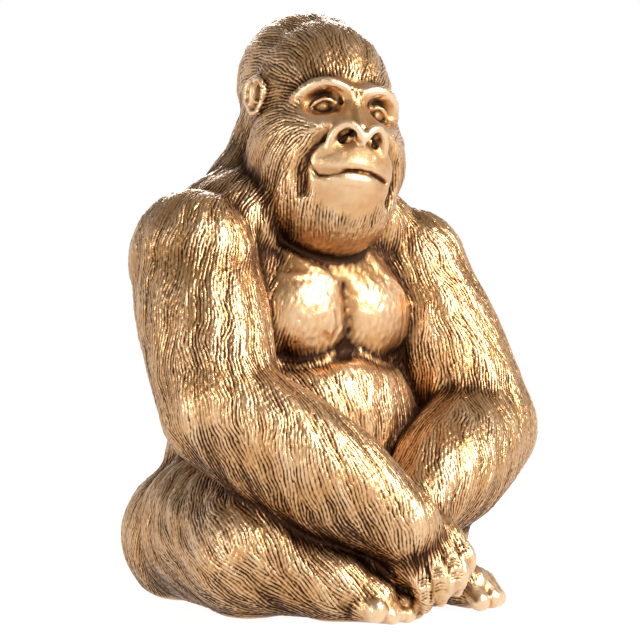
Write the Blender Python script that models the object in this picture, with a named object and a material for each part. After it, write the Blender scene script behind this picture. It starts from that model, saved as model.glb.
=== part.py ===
"""Seated gorilla figurine, cast in one piece, with a flat base to stand on.

Frame: the figure faces -Y, its left side is +X, +Z is up, and the origin is the centre of the
footprint on the ground. Every length is in metres and every angle in degrees.

It is made as a sculptor would make it. Each part of the body is a lump of clay balls and rolls,
fused into one skin and smoothed. The lumps are pressed together and fused again, creases are cut
with a few strokes, and the base is sliced flat.
"""

import math

import bmesh
import bpy
import numpy as np
from mathutils import Euler, Matrix, Vector
from mathutils.bvhtree import BVHTree

# The finished figure, overall
WIDTH, DEPTH, HEIGHT = 0.2860, 0.2540, 0.3940

# The clay: how fine each skin is, and how many rounds of smoothing blend its lumps
TRUNK_VOXEL, TRUNK_ROUNDS = 0.0035, 16
LIMB_VOXEL, LIMB_ROUNDS = 0.0024, 12
HEAD_VOXEL, HEAD_ROUNDS = 0.0018, 12
FACE_VOXEL, FACE_ROUNDS = 0.0012, 2
HAND_VOXEL, HAND_ROUNDS = 0.0016, 4
SKIN_VOXEL, SKIN_ROUNDS = 0.0017, 2
SKIN_TRIANGLES = 11900
GROUND = 0.001

GOLD = (0.80, 0.52, 0.22, 1.0)

RIGHT, LEFT = -1, 1

# Masses of the trunk, each a centre and half sizes. The paired ones are given for the left side.
PELVIS = ((0.0, 0.040, 0.048), (0.100, 0.066, 0.060))
LAP = ((-0.012, -0.050, 0.022), (0.062, 0.056, 0.036))
BELLY = ((0.0, 0.000, 0.112), (0.070, 0.058, 0.068))
RIB_CAGE = ((0.0, 0.024, 0.186), (0.080, 0.060, 0.070))
BACK = ((0.0, 0.034, 0.152), (0.080, 0.066, 0.120))
UPPER_BACK = ((0.0, 0.044, 0.236), (0.076, 0.058, 0.056))
NAPE = ((0.0, 0.040, 0.264), (0.060, 0.054, 0.049))
NECK = ((0.0, 0.031, 0.291), (0.041, 0.050, 0.055))
LOIN = ((0.0, 0.054, 0.092), (0.080, 0.056, 0.056))
BUTTOCK = ((0.052, 0.058, 0.042), (0.058, 0.056, 0.052))
SIDE_OF_BACK = ((0.056, 0.036, 0.180), (0.042, 0.056, 0.076))
SHOULDER_SLOPE = ((0.054, 0.030, 0.249), (0.050, 0.046, 0.033), (0, 28, 0))
CHEST_MUSCLE = ((0.030, -0.015, 0.188), (0.035, 0.023, 0.031), (0, 0, 16))

# Arms: the joints, then how thick the arm is on the way
SHOULDERS = {RIGHT: (-0.091, 0.014, 0.223), LEFT: (0.087, 0.013, 0.217)}
ELBOWS = {RIGHT: (-0.103, -0.034, 0.130), LEFT: (0.108, -0.040, 0.112)}
WRISTS = {RIGHT: (-0.020, -0.108, 0.060), LEFT: (0.008, -0.086, 0.066)}
DELTOID = (0.041, 0.044, 0.046)
UPPER_ARM_RADII = (0.040, 0.043, 0.041, 0.038)
FOREARM_RADII = (0.038, 0.040, 0.036, 0.025)

# Right hand: its knuckles, middle joints and finger tips, from the little finger to the index finger
KNUCKLES = ((-0.016, -0.121, 0.028), (-0.008, -0.126, 0.034), (0.003, -0.128, 0.039), (0.013, -0.124, 0.047))
JOINTS = ((-0.014, -0.125, 0.019), (-0.005, -0.132, 0.024), (0.006, -0.134, 0.029), (0.017, -0.129, 0.037))
FINGER_TIPS = ((-0.011, -0.117, 0.012), (-0.003, -0.123, 0.014), (0.008, -0.124, 0.020), (0.017, -0.121, 0.027))
FINGER_RADIUS = 0.0066
PALM_RADIUS = 0.019

# Legs: the joints and the thickness at each
HIPS = {RIGHT: (-0.060, 0.034, 0.048), LEFT: (0.056, 0.030, 0.048)}
KNEES = {RIGHT: (-0.080, -0.036, 0.040), LEFT: (0.055, -0.032, 0.076)}
ANKLES = {RIGHT: (-0.052, -0.084, 0.022), LEFT: (0.034, -0.073, 0.024)}
FEET = {RIGHT: (-0.036, -0.104, 0.013), LEFT: (0.047, -0.097, 0.015)}
HIP_RADIUS, KNEE_RADII, CALF_RADIUS, ANKLE_RADIUS = 0.052, {RIGHT: 0.043, LEFT: 0.032}, 0.031, 0.023
FOOT_RADIUS = 0.015

# Toes, as far as they show: each a root, a tip and a radius
TOES = (
    ((-0.046, -0.108, 0.012), (-0.044, -0.114, 0.010), 0.0075),
    ((-0.034, -0.110, 0.008), (-0.035, -0.119, 0.006), 0.0055),
    ((-0.026, -0.109, 0.008), (-0.026, -0.118, 0.006), 0.0055),
    ((-0.018, -0.107, 0.008), (-0.018, -0.116, 0.006), 0.0055),
    ((0.044, -0.100, 0.011), (0.043, -0.112, 0.007), 0.0070),
    ((0.053, -0.100, 0.010), (0.054, -0.110, 0.006), 0.0060),
    ((0.061, -0.096, 0.009), (0.063, -0.104, 0.006), 0.0055),
)

# Creases of the body, as (x, z) points seen from the front, with a width and a depth
CREASES = (
    (((-0.003, 0.206), (-0.002, 0.190), (-0.002, 0.172)), 0.009, 0.0040),
    (((-0.046, 0.160), (-0.029, 0.157), (-0.017, 0.162), (-0.006, 0.165)), 0.010, 0.0040),
    (((-0.006, 0.165), (0.009, 0.163), (0.024, 0.157), (0.044, 0.160)), 0.010, 0.0040),
    (((-0.050, 0.238), (-0.040, 0.230), (-0.026, 0.219), (-0.012, 0.208)), 0.006, -0.0022),
    (((0.022, 0.236), (0.031, 0.218), (0.047, 0.202)), 0.006, -0.0022),
)
SPINE = ((0.0, 0.26), (0.0, 0.18), (0.0, 0.10))
SPINE_WIDTH, SPINE_DEPTH = 0.016, 0.005

# Head, in a frame of its own: it faces -Y, its centre is the origin
HEAD_CENTRE = (0.002, 0.000, 0.306)
HEAD_LEAN, HEAD_TURN = 6.5, -13.0
SKULL = ((0.0, 0.014, 0.020), (0.049, 0.058, 0.060))
CROWN = ((0.0, 0.037, 0.041), (0.047, 0.050, 0.048))
JOWLS = ((0.0, -0.010, -0.016), (0.053, 0.052, 0.052))
BEARD = ((0.0, -0.021, -0.037), (0.046, 0.038, 0.045))
FACE_PLATE = ((0.0, -0.020, 0.004), (0.040, 0.024, 0.032))
MUZZLE = ((0.0, -0.037, -0.022), (0.033, 0.026, 0.019))
CHIN = ((0.0, -0.045, -0.041), (0.021, 0.017, 0.011))

# The face, given for the left side: how far each feature lies from the middle, how far forward, how high
EYE, EYE_RADIUS = (0.0184, 0.0335, 0.0132), 0.0080
UPPER_LID = (
    (0.0096, 0.0415, 0.0125),
    (0.0135, 0.0430, 0.0168),
    (0.0186, 0.0432, 0.0182),
    (0.0232, 0.0412, 0.0165),
    (0.0270, 0.0375, 0.0112),
)
LOWER_LID = (
    (0.0096, 0.0415, 0.0125),
    (0.0135, 0.0425, 0.0094),
    (0.0188, 0.0425, 0.0083),
    (0.0232, 0.0405, 0.0088),
    (0.0270, 0.0375, 0.0112),
)
LID_RADIUS = 0.0015
SOCKET_WIDTH, SOCKET_DEPTH = 0.015, 0.006
BROW = (
    (0.0, 0.0450, 0.0225),
    (0.0075, 0.0450, 0.0265),
    (0.0190, 0.0430, 0.0288),
    (0.0300, 0.0375, 0.0245),
    (0.0350, 0.0310, 0.0170),
)
BROW_RADIUS = 0.0050
CHEEK = ((0.021, 0.0375, 0.0005), (0.0105, 0.0070, 0.0060))
NOSE_BRIDGE, NOSE_BRIDGE_RADIUS = ((0.0, 0.0435, 0.0190), (0.0, 0.0480, 0.0090), (0.0, 0.0550, -0.0010)), 0.0068
NOSE_ARCH = (
    (0.0, 0.0630, -0.0080),
    (0.0034, 0.0635, -0.0028),
    (0.0098, 0.0615, 0.0008),
    (0.0158, 0.0585, -0.0025),
    (0.0184, 0.0560, -0.0085),
    (0.0182, 0.0550, -0.0145),
)
NOSE_ARCH_RADIUS = 0.0029
NOSTRIL, NOSTRIL_RADIUS, NOSTRIL_DEPTH = (0.0088, 0.0610, -0.0058), 0.0066, 0.0055
NOSE_PAD = ((0.0, 0.0550, -0.0150), (0.0150, 0.0100, 0.0075))
UPPER_LIP = (
    (-0.0265, 0.0500, -0.0275),
    (-0.0130, 0.0575, -0.0250),
    (0.0, 0.0605, -0.0235),
    (0.0130, 0.0575, -0.0250),
    (0.0265, 0.0500, -0.0275),
)
LOWER_LIP = (
    (-0.0245, 0.0490, -0.0345),
    (-0.0120, 0.0565, -0.0355),
    (0.0, 0.0585, -0.0350),
    (0.0120, 0.0565, -0.0355),
    (0.0245, 0.0490, -0.0345),
)
LIP_RADIUS = 0.0052
MOUTH = (
    (-0.0285, 0.0530, -0.0290),
    (-0.0200, 0.0590, -0.0310),
    (-0.0112, 0.0625, -0.0300),
    (0.0, 0.0645, -0.0285),
    (0.0112, 0.0625, -0.0300),
    (0.0200, 0.0590, -0.0310),
    (0.0285, 0.0530, -0.0290),
)
MOUTH_WIDTH, MOUTH_DEPTH = 0.0045, 0.0032
EAR = (0.0490, -0.0050, 0.0225)
EAR_SIZE, EAR_RIM, EAR_TURN = (0.0060, 0.0110), 0.0024, 40.0

# How the fur lies, for the left side: places and directions on the body
FUR_ON_BODY = (
    ((0.000, 0.092, 0.275), (0.0, 0.2, -1.0)),
    ((0.040, 0.100, 0.200), (0.15, 0.0, -1.0)),
    ((0.000, 0.104, 0.150), (0.0, 0.0, -1.0)),
    ((0.045, 0.100, 0.110), (0.1, 0.1, -1.0)),
    ((0.060, 0.030, 0.285), (1.0, 0.0, -0.35)),
    ((0.095, 0.015, 0.266), (1.0, 0.0, -1.0)),
    ((0.130, 0.015, 0.225), (0.0, 0.0, -1.0)),
    ((0.135, 0.000, 0.180), (0.0, -0.15, -1.0)),
    ((0.100, -0.040, 0.190), (0.25, 0.0, -1.0)),
    ((0.062, -0.025, 0.215), (0.45, -0.1, -1.0)),
    ((0.140, -0.040, 0.130), (-0.1, -0.3, -1.0)),
    ((0.075, -0.075, 0.132), (-0.15, -0.2, -1.0)),
    ((0.100, -0.080, 0.092), (-0.15, 0.0, -1.0)),
    ((0.040, -0.112, 0.084), (-0.35, -0.1, -1.0)),
    ((0.070, -0.070, 0.060), (-0.4, 0.0, -0.7)),
    ((0.034, -0.046, 0.130), (-0.5, -0.2, -1.0)),
    ((0.076, 0.030, 0.150), (0.0, -0.2, -1.0)),
    ((0.085, 0.060, 0.092), (0.8, 0.1, -0.6)),
    ((0.110, 0.062, 0.062), (0.3, 0.5, -0.9)),
    ((0.108, 0.010, 0.072), (0.6, -0.2, -0.9)),
    ((0.112, 0.000, 0.040), (0.1, -0.9, -0.5)),
    ((0.075, -0.092, 0.036), (-0.4, -0.5, -0.8)),
    ((0.050, 0.116, 0.050), (0.2, 0.0, -1.0)),
    ((0.090, 0.095, 0.030), (0.5, -0.2, -0.8)),
)
# The same on the head, as (out, forward, up)
FUR_ON_HEAD = (
    ((0.000, 0.045, 0.038), (0.0, -0.4, 1.0)),
    ((0.028, 0.036, 0.034), (0.35, -0.5, 0.7)),
    ((0.000, 0.000, 0.082), (0.0, -1.0, 0.1)),
    ((0.000, -0.076, 0.062), (0.0, -0.5, -1.0)),
    ((0.044, 0.020, 0.020), (0.2, -1.0, 0.15)),
    ((0.047, 0.028, -0.005), (0.1, -0.7, -0.5)),
    ((0.050, 0.022, -0.030), (0.0, -0.3, -1.0)),
    ((0.040, 0.036, -0.056), (-0.2, 0.0, -1.0)),
    ((0.000, 0.034, -0.080), (0.0, -1.0, -0.2)),
    ((0.050, -0.025, -0.030), (0.0, -0.1, -1.0)),
)
FUR_REACH, FUR_BORDER = 0.026, 0.25
LOCK_SPACING, LOCK_STEP, LOCK_LENGTH, LOCK_WIDTH = 0.017, 0.010, 0.020, 0.012
LOCK_HEIGHT, LOCK_SEED, LOCK_ROUNDS = 0.0016, 5, 3

# Where no fur grows: ellipsoids on the body and on the head, as (centre, radii)
BARE_ON_BODY = (
    ((0.000, -0.034, 0.200), (0.054, 0.036, 0.043)),
    ((0.000, -0.125, 0.030), (0.030, 0.024, 0.030)),
    ((-0.030, -0.116, 0.008), (0.026, 0.014, 0.014)),
    ((0.053, -0.104, 0.012), (0.022, 0.020, 0.018)),
)
BARE_ON_HEAD = (
    ((0.0, 0.044, 0.012), (0.042, 0.026, 0.026)),
    ((0.0, 0.060, -0.022), (0.034, 0.026, 0.028)),
    ((0.049, -0.005, 0.0225), (0.012, 0.012, 0.016)),
    ((-0.049, -0.005, 0.0225), (0.012, 0.012, 0.016)),
)


def mirrored(point, side):
    """A point given for the left side, put on the asked side."""
    return Vector((side * point[0], point[1], point[2]))


def between(start, end, share):
    return Vector(start).lerp(Vector(end), share)


def turned(turn):
    """The rotation by three angles in degrees, as a 4 by 4 matrix."""
    return Euler([math.radians(angle) for angle in turn]).to_matrix().to_4x4()


class Clay:
    """Overlapping closed shapes, which a voxel remesh fuses into one skin."""

    def __init__(self):
        self.mesh = bmesh.new()

    def ball(self, centre, radii, turn=(0.0, 0.0, 0.0)):
        """An ellipsoid."""
        place = Matrix.Translation(centre) @ turned(turn) @ Matrix.Diagonal((*radii, 1.0))
        bmesh.ops.create_icosphere(self.mesh, subdivisions=4, radius=1.0, matrix=place)

    def pair(self, centre, radii, turn=(0.0, 0.0, 0.0)):
        """An ellipsoid on each side of the middle."""
        for side in (RIGHT, LEFT):
            self.ball(mirrored(centre, side), radii, (turn[0], side * turn[1], side * turn[2]))

    def roll(self, stations, closed=False):
        """A tapered roll through (point, radius) stations, with round ends."""
        curve = bpy.data.curves.new("roll", "CURVE")
        curve.dimensions = "3D"
        curve.resolution_u = 6
        curve.bevel_depth = 1.0
        curve.bevel_resolution = 5
        curve.use_fill_caps = not closed
        spline = curve.splines.new("BEZIER")
        spline.use_cyclic_u = closed
        spline.radius_interpolation = "CARDINAL"
        spline.bezier_points.add(len(stations) - 1)
        for knot, (point, radius) in zip(spline.bezier_points, stations):
            knot.co = point
            knot.radius = radius
            knot.handle_left_type = knot.handle_right_type = "AUTO"
        helper = bpy.data.objects.new("roll", curve)
        bpy.context.scene.collection.objects.link(helper)
        bpy.context.view_layer.update()
        tube = helper.evaluated_get(bpy.context.evaluated_depsgraph_get()).to_mesh()
        self.mesh.from_mesh(tube)
        bpy.data.objects.remove(helper)
        bpy.data.curves.remove(curve)
        if not closed:
            for point, radius in (stations[0], stations[-1]):
                self.ball(point, (radius, radius, radius))

    def add(self, skin):
        """Takes in a finished skin."""
        self.mesh.from_mesh(skin)

    def skin(self, voxel, rounds, place=None):
        """The fused and smoothed surface, as a mesh."""
        if place is not None:
            self.mesh.transform(place)
        mesh = bpy.data.meshes.new("clay")
        self.mesh.to_mesh(mesh)
        self.mesh.free()
        helper = bpy.data.objects.new("clay", mesh)
        bpy.context.scene.collection.objects.link(helper)
        remesh = helper.modifiers.new("fuse", "REMESH")
        remesh.mode = "VOXEL"
        remesh.voxel_size = voxel
        smooth = helper.modifiers.new("smooth", "SMOOTH")
        smooth.factor = 0.5
        smooth.iterations = round(rounds)
        bpy.context.view_layer.update()
        graph = bpy.context.evaluated_depsgraph_get()
        fused = bpy.data.meshes.new_from_object(helper.evaluated_get(graph))
        bpy.data.objects.remove(helper)
        return fused


class Surface:
    """A skin's points, which strokes move along the skin's own normals."""

    def __init__(self, mesh):
        self.mesh = mesh
        count = len(mesh.vertices)
        self.points = np.empty(count * 3)
        mesh.vertices.foreach_get("co", self.points)
        self.points = self.points.reshape(-1, 3)
        self.normals = np.empty(count * 3)
        mesh.vertex_normals.foreach_get("vector", self.normals)
        self.normals = self.normals.reshape(-1, 3)
        self.shift = np.zeros(count)

    def stroke(self, path, width, depth):
        """Cuts a groove along a path, or raises a ridge where the depth is negative."""
        path = np.array([tuple(p) for p in path])
        near = ((self.points > path.min(0) - width) & (self.points < path.max(0) + width)).all(1)
        points = self.points[near]
        reach = np.full(len(points), np.inf)
        for start, end in zip(path[:-1], path[1:]):
            along = end - start
            share = np.clip((points - start) @ along / (along @ along), 0.0, 1.0)
            reach = np.minimum(reach, np.linalg.norm(points - start - share[:, None] * along, axis=1))
        fall = np.clip(1.0 - (reach / width) ** 2, 0.0, 1.0) ** 2
        self.shift[near] -= depth * fall

    def finish(self):
        moved = self.points + self.normals * self.shift[:, None]
        self.mesh.vertices.foreach_set("co", moved.ravel())
        self.mesh.update()
        return self.mesh


def trunk():
    """Pelvis, belly, rib cage, chest muscles, back and nape."""
    clay = Clay()
    for mass in (PELVIS, LAP, BELLY, RIB_CAGE, LOIN, BACK, UPPER_BACK, NAPE, NECK):
        clay.ball(*mass)
    for mass in (BUTTOCK, SIDE_OF_BACK, SHOULDER_SLOPE, CHEST_MUSCLE):
        clay.pair(*mass)
    return clay.skin(TRUNK_VOXEL, TRUNK_ROUNDS)


def arm(side):
    """Shoulder to wrist."""
    shoulder, elbow, wrist = SHOULDERS[side], ELBOWS[side], WRISTS[side]
    shares = (0.0, 0.35, 0.7, 1.0)
    clay = Clay()
    clay.ball(shoulder, DELTOID)
    clay.roll([(between(shoulder, elbow, s), r) for s, r in zip(shares, UPPER_ARM_RADII)])
    clay.roll([(between(elbow, wrist, s), r) for s, r in zip(shares, FOREARM_RADII)])
    return clay.skin(LIMB_VOXEL, LIMB_ROUNDS)


def right_hand():
    """The back of the hand, and four fingers that hang from its knuckles."""
    clay = Clay()
    wrist = Vector(WRISTS[RIGHT])
    for knuckle, joint, tip in zip(KNUCKLES, JOINTS, FINGER_TIPS):
        knuckle = Vector(knuckle)
        inner = knuckle + Vector((0.0, 0.010, 0.003))
        clay.roll([(between(wrist, inner, 0.2), PALM_RADIUS), (inner, PALM_RADIUS * 0.55)])
        clay.roll([
            (knuckle + Vector((0.0, 0.003, 0.004)), FINGER_RADIUS),
            (knuckle, FINGER_RADIUS * 1.05),
            (joint, FINGER_RADIUS),
            (tip, FINGER_RADIUS * 0.85),
        ])
    return clay.skin(HAND_VOXEL, HAND_ROUNDS)


def left_hand():
    """A loose fist tucked behind the right wrist."""
    clay = Clay()
    wrist = Vector(WRISTS[LEFT])
    fist = wrist + Vector((-0.022, -0.008, -0.018))
    clay.roll([(wrist, 0.025), (fist, 0.020)])
    return clay.skin(HAND_VOXEL, HAND_ROUNDS)


def leg(side):
    """Thigh, calf and foot."""
    hip, knee, ankle, foot = HIPS[side], KNEES[side], ANKLES[side], FEET[side]
    clay = Clay()
    clay.roll([(hip, HIP_RADIUS), (between(hip, knee, 0.5), HIP_RADIUS * 0.93), (knee, KNEE_RADII[side])])
    clay.roll([(knee, KNEE_RADII[side]), (between(knee, ankle, 0.5), CALF_RADIUS), (ankle, ANKLE_RADIUS)])
    clay.roll([(ankle, ANKLE_RADIUS), (between(ankle, foot, 0.5), FOOT_RADIUS * 1.2), (foot, FOOT_RADIUS)])
    return clay.skin(LIMB_VOXEL, LIMB_ROUNDS)


def toes():
    clay = Clay()
    for root, tip, radius in TOES:
        clay.roll([(root, radius), (tip, radius * 0.9)])
    return clay.skin(HAND_VOXEL, HAND_ROUNDS)


def head_place():
    """Where the head sits on the body."""
    return Matrix.Translation(HEAD_CENTRE) @ turned((0, 0, HEAD_TURN)) @ turned((0, HEAD_LEAN, 0))


def fore(point, side=LEFT):
    """A face landmark (out, forward, up) as a point of the head's frame."""
    return Vector((side * point[0], -point[1], point[2]))


def ear(clay, side):
    """A flat shell with a rolled rim, which faces out and forward."""
    half_width, half_height = EAR_SIZE
    place = Matrix.Translation(fore(EAR, side)) @ turned((0, 0, side * EAR_TURN))
    rim = []
    for step in range(8):
        angle = math.radians(45 * step)
        point = Vector((side * 0.001, half_width * math.cos(angle), half_height * math.sin(angle)))
        rim.append((place @ point, EAR_RIM))
    clay.roll(rim, closed=True)
    clay.ball(fore(EAR, side), (0.003, half_width, half_height), (0, 0, side * EAR_TURN))


def head():
    """Skull, jowls and face, with brows, eyes, nose, lips and ears laid on as rolls."""
    clay = Clay()
    for mass in (SKULL, CROWN, JOWLS, BEARD, FACE_PLATE, MUZZLE, CHIN):
        clay.ball(*mass)
    surface = Surface(clay.skin(HEAD_VOXEL, HEAD_ROUNDS))
    for side in (RIGHT, LEFT):
        socket = fore(EYE, side) + Vector((0, -EYE_RADIUS, 0))
        surface.stroke([socket, socket + Vector((side * 0.004, 0, 0))], SOCKET_WIDTH, SOCKET_DEPTH)
    clay = Clay()
    clay.add(surface.finish())
    for side in (RIGHT, LEFT):
        clay.roll([(fore(point, side), BROW_RADIUS) for point in BROW])
        for lid in (UPPER_LID, LOWER_LID):
            clay.roll([(fore(point, side), LID_RADIUS) for point in lid])
        clay.ball(fore(EYE, side), (EYE_RADIUS,) * 3)
        clay.ball(fore(CHEEK[0], side), CHEEK[1])
        clay.roll([(fore(point, side), NOSE_ARCH_RADIUS) for point in NOSE_ARCH])
        ear(clay, side)
    clay.roll([(fore(point), NOSE_BRIDGE_RADIUS) for point in NOSE_BRIDGE])
    clay.ball(fore(NOSE_PAD[0]), NOSE_PAD[1])
    for lip in (UPPER_LIP, LOWER_LIP):
        clay.roll([(fore(point), LIP_RADIUS) for point in lip])
    surface = Surface(clay.skin(FACE_VOXEL, FACE_ROUNDS))
    surface.stroke([fore(point) for point in MOUTH], MOUTH_WIDTH, MOUTH_DEPTH)
    for side in (RIGHT, LEFT):
        nostril = fore(NOSTRIL, side)
        surface.stroke([nostril, nostril + Vector((side * 0.002, 0, 0))], NOSTRIL_RADIUS, NOSTRIL_DEPTH)
    face = surface.finish()
    face.transform(head_place())
    return face


def seen_from(mesh, facing):
    """Finds the skin's point at (x, z), looked at along the y axis from the front (1) or the back (-1)."""
    tree = BVHTree.FromPolygons([v.co[:] for v in mesh.vertices], [p.vertices[:] for p in mesh.polygons])

    def at(x, z):
        return tree.ray_cast(Vector((x, -0.5 * facing, z)), Vector((0, facing, 0)))[0]

    return at


def body():
    """The trunk, with its creases cut."""
    mesh = trunk()
    surface = Surface(mesh)
    front, back = seen_from(mesh, 1), seen_from(mesh, -1)
    for path, width, depth in CREASES:
        surface.stroke([front(x, z) for x, z in path], width, depth)
    surface.stroke([back(x, z) for x, z in SPINE], SPINE_WIDTH, SPINE_DEPTH)
    return surface.finish()


def fur_flow(surface):
    """Which way the fur lies at each point: the guides around it, blended along the skin."""
    head = head_place()
    places, ways = [], []
    for side in (RIGHT, LEFT):
        for place, way in FUR_ON_BODY:
            places.append(mirrored(place, side))
            ways.append(mirrored(way, side).normalized())
        for place, way in FUR_ON_HEAD:
            places.append(head @ fore(place, side))
            ways.append((head.to_3x3() @ fore(way, side)).normalized())
    reach = np.linalg.norm(surface.points[:, None] - np.array(places), axis=2) / FUR_REACH
    blend = np.exp(-0.5 * reach ** 2) + 1e-4 / reach ** 2
    flow = blend @ np.array(ways)
    flow -= surface.normals * (flow * surface.normals).sum(axis=1)[:, None]
    return flow / np.linalg.norm(flow, axis=1)[:, None]


def furred(points):
    """1 where fur grows, 0 on bare skin, with a soft border."""
    to_head = np.array(head_place().inverted())
    ahead = points @ to_head[:3, :3].T + to_head[:3, 3]
    ahead[:, 1] *= -1
    grown = np.ones(len(points))
    for spots, seen in ((BARE_ON_BODY, points), (BARE_ON_HEAD, ahead)):
        for centre, radii in spots:
            reach = np.linalg.norm((seen - np.array(centre)) / np.array(radii), axis=1)
            grown = np.minimum(grown, np.clip((reach - 1.0) / FUR_BORDER, 0.0, 1.0))
    return grown


class Locks:
    """Short waves laid across the flow of the fur. Each fades out where its neighbours take over."""

    def __init__(self, surface, flow):
        rng = np.random.default_rng(LOCK_SEED)
        order = rng.permutation(len(surface.points))
        cubes = np.floor(surface.points[order] / LOCK_STEP).astype(int)
        chosen = order[np.unique(cubes, axis=0, return_index=True)[1]]
        self.places = surface.points[chosen]
        self.normals = surface.normals[chosen]
        self.ways = flow[chosen]
        self.sides = np.cross(self.normals, self.ways)
        self.turns = rng.uniform(0.0, 2 * math.pi, len(chosen))
        for _ in range(LOCK_ROUNDS):
            self.turns = self.turn_at(self.places, self.normals)

    def turn_at(self, points, normals):
        """How far the blended wave has turned at each point: one turn from lock to lock."""
        turns = np.empty(len(points))
        for start in range(0, len(points), 2000):
            part = slice(start, start + 2000)
            low, high = points[part].min(axis=0) - 3 * LOCK_LENGTH, points[part].max(axis=0) + 3 * LOCK_LENGTH
            near = ((self.places > low) & (self.places < high)).all(axis=1)
            gap = points[part][:, None] - self.places[near]
            out = np.einsum("ijk,jk->ij", gap, self.sides[near])
            along = np.einsum("ijk,jk->ij", gap, self.ways[near])
            lift = np.einsum("ijk,jk->ij", gap, self.normals[near])
            weight = np.exp(-0.5 * ((along / LOCK_LENGTH) ** 2 + (out ** 2 + lift ** 2) / LOCK_WIDTH ** 2))
            weight *= np.clip(normals[part] @ self.normals[near].T, 0.0, 1.0)
            angle = out * (2 * math.pi / LOCK_SPACING) + self.turns[near]
            turns[part] = np.angle((weight * np.exp(1j * angle)).sum(axis=1))
        return turns


def comb(mesh):
    """Raises the fur's locks on a skin."""
    surface = Surface(mesh)
    order = np.lexsort(np.floor(surface.points / LOCK_LENGTH).T)
    locks = Locks(surface, fur_flow(surface))
    height = np.empty(len(order))
    height[order] = np.abs(np.cos(locks.turn_at(surface.points[order], surface.normals[order]) / 2))
    surface.shift += LOCK_HEIGHT * (height - height.mean()) * furred(surface.points)
    return surface.finish()


def figurine():
    clay = Clay()
    clay.add(body())
    clay.add(head())
    for side in (RIGHT, LEFT):
        clay.add(arm(side))
        clay.add(leg(side))
    clay.add(right_hand())
    clay.add(left_hand())
    clay.add(toes())
    return comb(clay.skin(SKIN_VOXEL, SKIN_ROUNDS))


def thin_out(mesh, triangles):
    """The same skin in fewer triangles, which stay small where it curves most."""
    helper = bpy.data.objects.new("figure", mesh)
    bpy.context.scene.collection.objects.link(helper)
    thin = helper.modifiers.new("thin out", "DECIMATE")
    thin.ratio = triangles / sum(len(face.vertices) - 2 for face in mesh.polygons)
    thin.use_collapse_triangulate = True
    bpy.context.view_layer.update()
    graph = bpy.context.evaluated_depsgraph_get()
    thinned = bpy.data.meshes.new_from_object(helper.evaluated_get(graph))
    bpy.data.objects.remove(helper)
    return thinned


def slice_base(mesh):
    """Cuts the underside flat at the ground, centres the figure and gives it its overall size."""
    work = bmesh.new()
    work.from_mesh(mesh)
    everything = work.verts[:] + work.edges[:] + work.faces[:]
    cut = bmesh.ops.bisect_plane(
        work, geom=everything, plane_co=(0, 0, GROUND), plane_no=(0, 0, 1), clear_inner=True
    )
    rim = [part for part in cut["geom_cut"] if isinstance(part, bmesh.types.BMEdge)]
    bmesh.ops.contextual_create(work, geom=rim)
    bmesh.ops.triangulate(work, faces=work.faces[:])
    bmesh.ops.recalc_face_normals(work, faces=work.faces[:])
    places = np.array([vertex.co for vertex in work.verts])
    low, high = places.min(axis=0), places.max(axis=0)
    middle = (low + high) / 2
    bmesh.ops.translate(work, verts=work.verts[:], vec=(-middle[0], -middle[1], -GROUND))
    bmesh.ops.scale(work, verts=work.verts[:], vec=np.array((WIDTH, DEPTH, HEIGHT)) / (high - low))
    work.to_mesh(mesh)
    work.free()


def gold_paint():
    """Warm gold paint with a soft shine."""
    paint = bpy.data.materials.new("gold paint")
    paint.use_nodes = True
    shader = paint.node_tree.nodes["Principled BSDF"]
    shader.inputs["Base Color"].default_value = GOLD
    shader.inputs["Metallic"].default_value = 1.0
    shader.inputs["Roughness"].default_value = 0.36
    return paint


def main():
    for thing in list(bpy.data.objects):
        bpy.data.objects.remove(thing)
    mesh = thin_out(figurine(), SKIN_TRIANGLES)
    slice_base(mesh)
    mesh.shade_smooth()
    mesh.materials.clear()
    mesh.materials.append(gold_paint())
    node = bpy.data.objects.new("figurine", mesh)
    bpy.context.scene.collection.objects.link(node)


main()
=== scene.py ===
# %% [markdown]
# # A gold gorilla, cast in one piece
#
# The real thing is a cast figure of a seated gorilla, with fur carved all over it and warm gold paint
# on top. The plain form comes from the CAD part. This lesson carves the face, the hands and the fur
# on a copy of it, as a sculptor would on a clay model, and then paints and photographs the result.

# %% Load the part
import math
import time

import bpy
import numpy as np
from mathutils import Euler, Matrix, Vector
from mathutils.kdtree import KDTree


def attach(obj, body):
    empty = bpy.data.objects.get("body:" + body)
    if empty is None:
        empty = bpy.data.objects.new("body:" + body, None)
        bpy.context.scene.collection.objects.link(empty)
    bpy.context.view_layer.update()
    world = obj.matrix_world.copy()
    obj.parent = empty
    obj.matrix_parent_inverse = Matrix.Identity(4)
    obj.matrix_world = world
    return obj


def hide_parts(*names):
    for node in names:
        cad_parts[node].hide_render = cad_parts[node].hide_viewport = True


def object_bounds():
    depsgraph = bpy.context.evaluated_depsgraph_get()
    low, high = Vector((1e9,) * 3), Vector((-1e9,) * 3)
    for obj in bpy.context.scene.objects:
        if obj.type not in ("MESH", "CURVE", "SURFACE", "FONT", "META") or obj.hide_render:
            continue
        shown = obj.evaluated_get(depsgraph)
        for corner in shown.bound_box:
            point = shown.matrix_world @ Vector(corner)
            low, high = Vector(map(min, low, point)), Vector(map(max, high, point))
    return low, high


started = time.time()
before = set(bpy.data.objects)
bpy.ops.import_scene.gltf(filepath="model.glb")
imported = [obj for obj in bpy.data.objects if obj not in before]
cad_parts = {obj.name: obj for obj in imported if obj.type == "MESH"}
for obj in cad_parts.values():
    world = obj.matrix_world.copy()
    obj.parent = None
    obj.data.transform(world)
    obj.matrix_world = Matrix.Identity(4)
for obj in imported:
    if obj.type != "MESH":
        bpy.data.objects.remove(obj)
cad_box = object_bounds()
bpy.ops.object.select_all(action="DESELECT")
print("CAD box", cad_box)

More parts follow.
